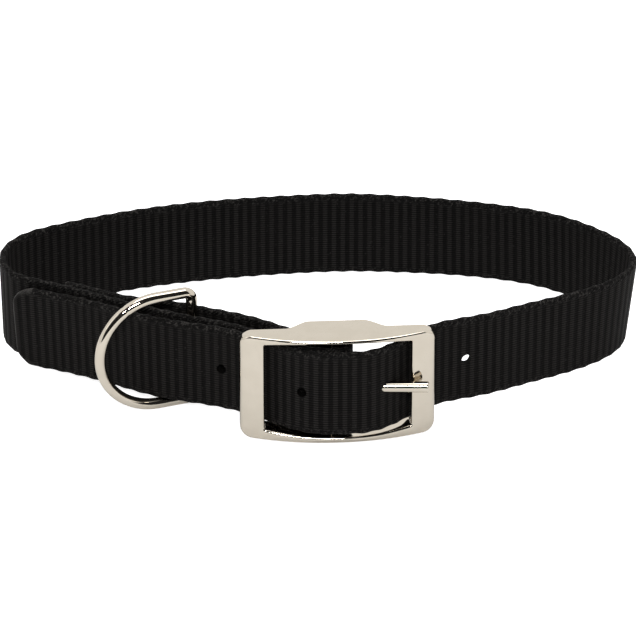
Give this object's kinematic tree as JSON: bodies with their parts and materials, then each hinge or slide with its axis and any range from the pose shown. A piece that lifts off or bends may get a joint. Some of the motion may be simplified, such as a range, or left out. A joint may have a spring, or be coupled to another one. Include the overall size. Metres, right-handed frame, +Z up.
{
  "type": "dog collar",
  "caption": "Buckled loop of flat webbing with a bowed centre-bar buckle, a tongue in a punched hole and a D-ring that the free end runs through.",
  "frame": {"origin": "on the surface that the collar stands on, under the middle of its bounding box", "axes": "+Z up, +Y from the buckle to the back of the loop, +X to the right as seen from the buckle's side"},
  "size_m": [0.1778, 0.0938, 0.0363],
  "materials": {
    "webbing": "coarse woven nylon, dull",
    "nickel": "polished nickel plate"
  },
  "bodies": {
    "collar": {"strap": "webbing", "buckle_frame": "nickel", "buckle_tongue": "nickel"},
    "ring": {"d_ring": "nickel"}
  },
  "joints": [
    {"name": "d_ring_swing", "type": "hinge", "parent": "collar", "child": "ring", "pos_m": [-0.03458, -0.02195, 0.01805], "axis": [0, 0.0493, 0.9988], "range_deg": [0, 95]}
  ]
}
